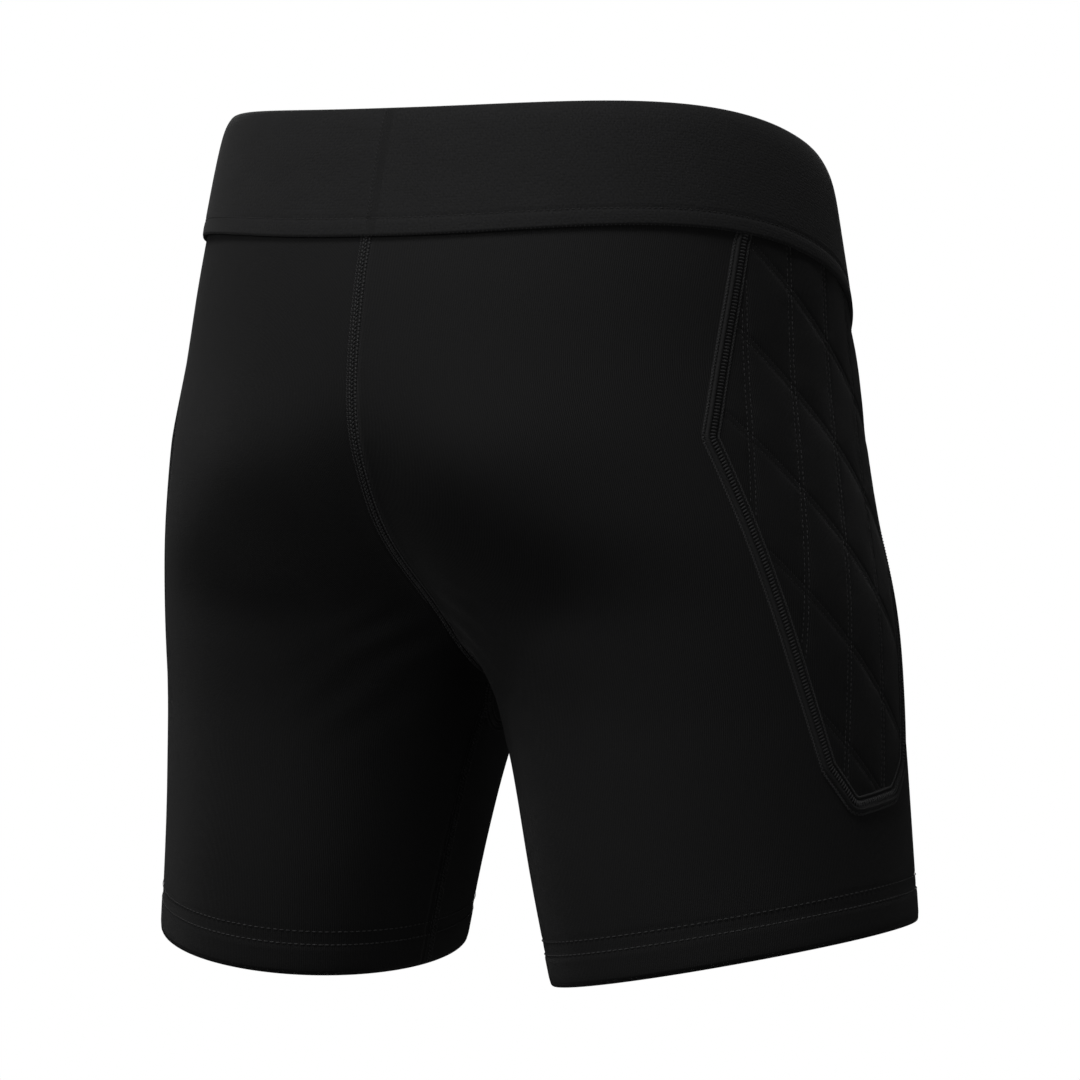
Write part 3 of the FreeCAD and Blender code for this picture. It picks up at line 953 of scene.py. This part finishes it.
class Shader:
    """A node material built from a flat cloth coordinate in millimetres."""

    def __init__(self, name, roughness, specular, sheen, sheen_roughness=0.4):
        self.material = bpy.data.materials.new(name)
        self.material.use_nodes = True
        self.tree = self.material.node_tree
        self.surface = self.tree.nodes["Principled BSDF"]
        self.surface.inputs["Roughness"].default_value = roughness
        self.surface.inputs["Specular IOR Level"].default_value = specular
        self.surface.inputs["Sheen Weight"].default_value = sheen
        self.surface.inputs["Sheen Roughness"].default_value = sheen_roughness
        flat = self.node("ShaderNodeUVMap", uv_map="cloth")
        self.cloth = self.vector("MULTIPLY", flat.outputs["UV"], (1 / MM, 1 / MM, 1 / MM))
        parts = self.node("ShaderNodeSeparateXYZ")
        self.link(self.cloth, parts.inputs[0])
        self.across, self.along = parts.outputs[0], parts.outputs[1]

    def node(self, kind, **settings):
        made = self.tree.nodes.new(kind)
        for name, value in settings.items():
            setattr(made, name, value)
        return made

    def link(self, output, socket):
        if isinstance(output, bpy.types.NodeSocket):
            self.tree.links.new(output, socket)
        else:
            socket.default_value = output

    def math(self, operation, first, second=0.0):
        made = self.node("ShaderNodeMath", operation=operation)
        self.link(first, made.inputs[0])
        self.link(second, made.inputs[1])
        return made.outputs[0]

    def plus(self, first, second):
        return self.math("ADD", first, second)

    def minus(self, first, second):
        return self.math("SUBTRACT", first, second)

    def times(self, first, second):
        return self.math("MULTIPLY", first, second)

    def vector(self, operation, first, second):
        made = self.node("ShaderNodeVectorMath", operation=operation)
        self.link(first, made.inputs[0])
        self.link(second, made.inputs[1])
        return made.outputs[0]

    def wave(self, value, pitch, shift=0.0):
        """A sine of the given pitch in millimetres, from -1 to 1."""
        turns = self.math("MULTIPLY", value, 2 * math.pi / pitch)
        return self.math("SINE", self.math("ADD", turns, shift))

    def noise(self, size, stretch=1.0, detail=2.0):
        """Soft noise from 0 to 1 with features of about size millimetres."""
        place = self.vector("MULTIPLY", self.cloth, (1 / size, 1 / (size * stretch), 1 / size))
        made = self.node("ShaderNodeTexNoise")
        made.inputs["Detail"].default_value = detail
        made.inputs["Scale"].default_value = 1.0
        self.link(place, made.inputs["Vector"])
        return made.outputs["Fac"]

    def colour(self, factor, dark, light):
        """Base colour between two greys."""
        ramp = self.node("ShaderNodeValToRGB")
        ramp.color_ramp.elements[0].color = (*dark, 1)
        ramp.color_ramp.elements[1].color = (*light, 1)
        ramp.color_ramp.elements[0].position = 0.25
        ramp.color_ramp.elements[1].position = 0.75
        self.link(factor, ramp.inputs[0])
        self.link(ramp.outputs["Color"], self.surface.inputs["Base Color"])

    def rough(self, factor, low, high):
        made = self.node("ShaderNodeMapRange")
        made.inputs["To Min"].default_value = low
        made.inputs["To Max"].default_value = high
        self.link(factor, made.inputs["Value"])
        self.link(made.outputs["Result"], self.surface.inputs["Roughness"])

    def bump(self, height, distance, strength=1.0):
        made = self.node("ShaderNodeBump")
        made.inputs["Distance"].default_value = distance * MM
        made.inputs["Strength"].default_value = strength
        self.link(height, made.inputs["Height"])
        self.link(made.outputs["Normal"], self.surface.inputs["Normal"])


def jersey_material(name, wale, course, dark, light):
    """Warp-knit jersey: upright wales of little chevron loops, broken up and slightly glossy."""
    shader = Shader(name, 0.72, 0.15, 0.05)
    phase = shader.math("DIVIDE", shader.across, wale)
    saw = shader.math("ABSOLUTE", shader.minus(shader.math("FRACT", phase), 0.5))
    sway = shader.times(shader.noise(3.0, 2.0, 2.0), 1.6)
    slanted = shader.plus(shader.plus(shader.along, sway), shader.times(saw, 1.3))
    loops = shader.wave(slanted, course)
    ridges = shader.wave(shader.across, wale)
    broken = shader.noise(0.55, 1.8, 1.0)
    height = shader.plus(shader.times(ridges, 0.7), shader.times(loops, 0.22))
    height = shader.times(height, shader.plus(broken, 0.35))
    slow = shader.noise(26.0, 1.6, 2.0)
    grain = shader.minus(shader.noise(0.8, 1.3, 2.0), 0.5)
    height = shader.plus(height, shader.times(grain, 1.2))
    shade = shader.plus(shader.times(height, 0.45), shader.times(slow, 0.4))
    shader.colour(shader.plus(shade, 0.3), dark, light)
    shader.rough(slow, 0.64, 0.80)
    shader.bump(height, 0.11)
    return shader.material


def elastic_material():
    """Brushed elastic: fine cross ribs under a matt mottled pile."""
    shader = Shader("brushed_elastic", 0.85, 0.10, 0.06, 0.5)
    ribs = shader.times(shader.wave(shader.along, 1.3), 0.08)
    rows = shader.times(shader.wave(shader.across, 0.8), 0.08)
    pile = shader.noise(1.0, 1.3, 3.0)
    height = shader.plus(shader.plus(ribs, rows), shader.times(pile, 2.2))
    slow = shader.noise(18.0, 0.6, 2.0)
    mottle = shader.plus(shader.times(pile, 1.1), shader.times(slow, 0.3))
    mottle = shader.minus(mottle, 0.2)
    shader.colour(mottle, (0.0100, 0.0100, 0.0103), (0.0185, 0.0185, 0.0190))
    shader.rough(slow, 0.76, 0.88)
    shader.bump(height, 0.16)
    return shader.material


def thread_material(name, dark, light):
    """Spun polyester thread with its twist."""
    shader = Shader(name, 0.55, 0.32, 0.15)
    twist = shader.wave(shader.plus(shader.across, shader.times(shader.along, 1.6)), 0.5)
    fuzz = shader.noise(0.3, 1.0, 2.0)
    height = shader.plus(shader.times(twist, 0.5), fuzz)
    shader.colour(shader.plus(shader.times(twist, 0.2), fuzz), dark, light)
    shader.rough(fuzz, 0.45, 0.65)
    shader.bump(height, 0.06)
    return shader.material


def mesh_lining_material():
    """Knitted mesh: rows of small round holes."""
    shader = Shader("mesh_lining", 0.75, 0.2, 0.15)
    rows = shader.times(shader.wave(shader.across, 2.4), shader.wave(shader.along, 2.4))
    holes = shader.math("ABSOLUTE", rows)
    shader.colour(shader.minus(1.0, holes), (0.004, 0.004, 0.004), (0.022, 0.022, 0.023))
    shader.bump(shader.minus(shader.times(shader.noise(0.5), 0.3), holes), 0.35)
    return shader.material


def foam_material():
    """Closed-cell foam: a fine pebbled skin."""
    shader = Shader("closed_cell_foam", 0.8, 0.25, 0.0)
    cells = shader.node("ShaderNodeTexVoronoi")
    cells.inputs["Scale"].default_value = 1.4
    shader.link(shader.cloth, cells.inputs["Vector"])
    shader.colour(cells.outputs["Distance"], (0.035, 0.035, 0.036), (0.055, 0.055, 0.057))
    shader.bump(cells.outputs["Distance"], 0.2)
    shader.rough(shader.noise(6.0), 0.72, 0.88)
    return shader.material


# ---------------------------------------------------------------- assembly

def tidy_seams(obj, reach=0.02):
    """Joins points that meet, such as where a leg's grid closes on itself."""
    work = bmesh.new()
    work.from_mesh(obj.data)
    bmesh.ops.remove_doubles(work, verts=work.verts, dist=reach * MM)
    work.to_mesh(obj.data)
    work.free()


jersey = jersey_material("jersey", 0.9, 0.8, (0.0060, 0.0060, 0.0062), (0.0105, 0.0105, 0.0108))
# The pad cover is the same jersey with darker greys: painted shade for the side turned away from the key
# light.
pad_jersey_painted_shade = jersey_material("pad_jersey_painted_shade", 0.9, 0.8, (0.0050, 0.0050, 0.0052), (0.0090, 0.0090, 0.0093))
binding = jersey_material("binding", 0.6, 0.6, (0.0085, 0.0085, 0.0088), (0.0150, 0.0150, 0.0154))
elastic = elastic_material()
thread = thread_material("thread", (0.012, 0.012, 0.0125), (0.034, 0.034, 0.035))
dull_thread = thread_material("dull_thread", (0.004, 0.004, 0.0042), (0.011, 0.011, 0.0115))
lining = mesh_lining_material()
foam = foam_material()


def body_panels():
    made = add_pair("body_panel", joined([panel_mesh(), hem_mesh()]), jersey, FABRIC)
    for obj in made:
        tidy_seams(obj)


def hip_pads():
    for obj in add_pair("hip_cover", cover_mesh(), pad_jersey_painted_shade, FABRIC):
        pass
    for obj in add_pair("hip_foam", foam_mesh(), foam, 4.6):
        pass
    for obj in add_pair("hip_lining", lining_mesh(), lining, 0.5):
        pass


HIP_SEAM = [(4.9, -0.1), (4.4, 0.25), (3.5, 0.30), (3.1, 0.3), (2.7, 1.2), (1.9, 1.55), (1.1, 1.25),
            (0.7, 0.45), (-0.5, 0.60), (-1.8, 0.55), (-2.4, 0.3), (-2.7, -0.4), (-3.3, -0.4), (-3.6, 0.2),
            (-4.2, 0.15), (-4.9, -0.1), (-4.9, -1.2), (4.9, -1.2)]


def hip_seams():
    path = hip_path(BAND_HEIGHT - 3)
    add_pair("hip_piping", ribbon(path, HIP_SEAM), binding)
    stitches = [
        zigzag(path, 1.7, 1.3, 0.30, aside=4.1, lift=0.42),
        dashes(path, 1.65, 2.9, 0.36, aside=-0.75, lift=0.85, angle=math.pi / 2 - 0.12, arch=0.30),
        zigzag(path, 1.7, 1.0, 0.26, aside=-4.1, lift=0.30),
    ]
    add_pair("hip_seam_stitching", joined(stitches), thread)


def line_on_pad(start, direction, length):
    """A straight line on the side plane laid over the quilted pad, only where the pad is."""
    along = np.arange(-length, length, 0.8)
    y, z = start[0] + direction[0] * along, start[1] + direction[1] * along
    inside = (-outside(HIP_PATH, np.stack([y, z], -1)) > 5.5) & (z < waist_height(y) - BAND_HEIGHT + 3)
    y, z = y[inside], z[inside]
    if len(y) < 8:
        return None
    points, normals = skin(side_angle(y, -z), -z)
    return Path(points + normals * pad_height(y, z)[:, None], normals)


def hip_quilting():
    stitches, finishes = [], []
    lean = unit(np.array([-QUILT_LEAN, 1.0]))
    slant = unit(np.array([1.0, 1.0]))
    families = [
        ([((i + QUILT_PHASE) * QUILT_SPACING, 0.0) for i in range(-4, 4)], lean, 2.6, 1.8, 0.26, 0),
        ([(SLANT_START + i * SLANT_SPACING, 0.0) for i in range(-1, 6)], slant, 2.1, 1.2, 0.20, 1),
    ]
    for starts, direction, pitch, length, radius, finish in families:
        aside = np.array([direction[1], -direction[0]])
        for start in starts:
            for side in (-1, 1):
                path = line_on_pad(np.array(start) + aside * side * QUILT_ROW_GAP / 2, direction, 460)
                if path is not None:
                    stitches.append(dashes(path, pitch, length, radius, lift=0.05, arch=0.1,
                                           first=0.5 * (side + 1)))
                    finishes.append(finish)
    add_pair("hip_quilting", joined(stitches, finishes), (thread, dull_thread))


FLATLOCK = [(3.6, -0.15), (3.2, 0.10), (1.8, 0.16), (0.5, 0.26), (-0.8, 0.16), (-2.2, 0.20),
            (-3.3, 0.12), (-3.6, -0.15), (-3.6, -0.8), (3.6, -0.8)]


def flatlock(path):
    """A flat seam: a low band of cloth under columns of loops and a fine zigzag."""
    parts = [
        ribbon(path, FLATLOCK),
        dashes(path, 1.9, 1.4, 0.48, aside=2.3, lift=0.40, angle=0.30),
        dashes(path, 1.9, 1.4, 0.50, aside=0.3, lift=0.46, angle=-0.40, first=0.9),
        dashes(path, 1.9, 1.4, 0.46, aside=-0.9, lift=0.42, angle=0.40, first=0.2),
        zigzag(path, 1.9, 0.9, 0.22, aside=-2.8, lift=0.26),
    ]
    return joined(parts, [0, 1, 1, 1, 1])


def seams():
    finish = (jersey, thread)
    add_pair("front_seam", flatlock(pouch_path(BAND_HEIGHT - 3)), finish)
    add_pair("inseam", flatlock(inseam_path()), (jersey, dull_thread))
    add_piece("gusset_seam", flatlock(gusset_path()), finish)
    add_piece("centre_back_seam", flatlock(centre_back_path(BAND_HEIGHT - 3)), finish)


def hem_stitching():
    rows = [dashes(hem_path(HEM_ROWS[0]), 3.2, 2.0, 0.26, lift=0.06, arch=0.14),
            dashes(hem_path(HEM_ROWS[1]), 3.0, 2.1, 0.30, lift=0.08, arch=0.16)]
    add_pair("hem_stitching", joined(rows), thread)


def front_and_crotch():
    outer = add_piece("front_pouch_outer", pouch_mesh(0.0), jersey, FABRIC)
    inner = add_piece("front_pouch_lining", pouch_mesh(-1.1), lining, 0.8)
    gusset = add_piece("crotch_gusset", gusset_mesh(), jersey, FABRIC)


def waistband():
    band = add_piece("waistband", band_mesh(), elastic)
    row = waist_path(BAND_HEIGHT - BAND_STITCH_LIFT, BAND_OUT - 0.3)
    edge = waist_path(BAND_HEIGHT - 0.3, BAND_OUT - 1.0)
    add_piece("band_attachment_stitching", joined([
        dashes(row, 3.0, 1.9, 0.22, lift=0.02, arch=0.08),
        dashes(edge, 2.1, 1.3, 0.20, lift=0.55, angle=math.pi / 2),
    ]), dull_thread)
    depth = np.arange(-30.0, 60.0, 1.0)
    points, normals = skin(half_range(depth)[0], depth)
    normals = unit(normals * [0, 1, 1])
    lower = waist_height(points[:, 1]) - points[:, 2]
    roll = BAND_ROLL * np.exp(-np.clip(lower, 0, None) / BAND_ROLL_REACH)
    points = points * [0, 1, 1] + normals * (BAND_OUT - roll)[:, None]
    join = Path(points, normals).only((lower > 1.5) & (lower < BAND_HEIGHT - 2))
    add_piece("band_join_stitching", joined([
        zigzag(join, 2.2, 1.5, 0.18, lift=0.0),
        dashes(join, 2.2, 1.6, 0.2, aside=1.3, lift=0.0),
    ]), dull_thread)


body_panels()
hip_pads()
hip_seams()
hip_quilting()
seams()
hem_stitching()
front_and_crotch()
waistband()


# ---------------------------------------------------------------- stage, light and camera

VIEW_AZIMUTH = math.radians(213.56)
CAMERA_DISTANCE, CAMERA_LENS = 3.5127, 238.5
CAMERA_ASIDE, CAMERA_HEIGHT, AIM_HEIGHT = 0.0064, -0.1542, -0.1937
behind = Vector((math.sin(VIEW_AZIMUTH), -math.cos(VIEW_AZIMUTH), 0))
rightwards = Vector((math.cos(VIEW_AZIMUTH), math.sin(VIEW_AZIMUTH), 0))
upwards = Vector((0, 0, 1))
aim = rightwards * CAMERA_ASIDE + upwards * AIM_HEIGHT


def add_aimed(name, data, place):
    """A camera or light at a place, turned towards the shorts."""
    obj = bpy.data.objects.new(name, data)
    bpy.context.collection.objects.link(obj)
    obj.location = place
    obj.rotation_mode = "QUATERNION"
    obj.rotation_quaternion = (aim - obj.location).to_track_quat("-Z", "Y")
    return obj


def add_camera():
    data = bpy.data.cameras.new("camera")
    data.lens = CAMERA_LENS
    data.sensor_width = 36
    data.clip_start, data.clip_end = 0.1, 50
    place = behind * CAMERA_DISTANCE + rightwards * CAMERA_ASIDE + upwards * CAMERA_HEIGHT
    bpy.context.scene.camera = add_aimed("camera", data, place)


def add_light(name, place, size, power):
    data = bpy.data.lights.new(name, "AREA")
    data.shape = "DISK"
    data.size = size
    data.energy = power
    add_aimed(name, data, place)


def add_floor():
    """A wide pale floor well below the shorts."""
    drop = cad_low[2] - 0.35
    turn = np.linspace(0, 2 * math.pi, 97)[:-1]
    points = np.stack([np.cos(turn), np.sin(turn), np.zeros(96)], -1) * 2.6 / MM
    floor = add_object("floor", Mesh(points, [list(range(96))], points[:, :2]))
    material = bpy.data.materials.new("pale_floor")
    material.use_nodes = True
    material.node_tree.nodes["Principled BSDF"].inputs["Base Color"].default_value = (0.9, 0.9, 0.9, 1)
    material.node_tree.nodes["Principled BSDF"].inputs["Roughness"].default_value = 0.9
    floor.data.materials.append(material)
    floor.location = (0, 0, drop)
    floor.visible_diffuse = False
    floor.visible_glossy = False


def add_surroundings():
    """White to the camera, and a dim even fill for the object."""
    world = bpy.data.worlds.new("surroundings")
    bpy.context.scene.world = world
    world.use_nodes = True
    tree = world.node_tree
    seen = tree.nodes["Background"]
    seen.inputs["Color"].default_value = (1, 1, 1, 1)
    seen.inputs["Strength"].default_value = 1.0
    fill = tree.nodes.new("ShaderNodeBackground")
    fill.inputs["Color"].default_value = (1, 1, 1, 1)
    fill.inputs["Strength"].default_value = 0.045
    ray = tree.nodes.new("ShaderNodeLightPath")
    mix = tree.nodes.new("ShaderNodeMixShader")
    tree.links.new(ray.outputs["Is Camera Ray"], mix.inputs["Fac"])
    tree.links.new(fill.outputs[0], mix.inputs[1])
    tree.links.new(seen.outputs[0], mix.inputs[2])
    tree.links.new(mix.outputs[0], tree.nodes["World Output"].inputs["Surface"])


add_camera()
add_light("key", behind * 1.2 - rightwards * 0.6 + upwards * 2.8, 1.2, 58)
add_light("left_side", behind * 1.2 - rightwards * 1.9 + upwards * 0.9, 1.0, 15)
add_light("behind_camera", behind * 2.6 - rightwards * 0.3 - upwards * 0.3, 1.0, 3)
add_light("right_side", behind * 2.2 + rightwards * 1.0 - upwards * 0.5, 1.0, 7)
add_light("front", -behind * 2.2 + upwards * 1.0, 1.2, 40)
add_floor()
add_surroundings()
bpy.context.scene.view_settings.view_transform = "Standard"
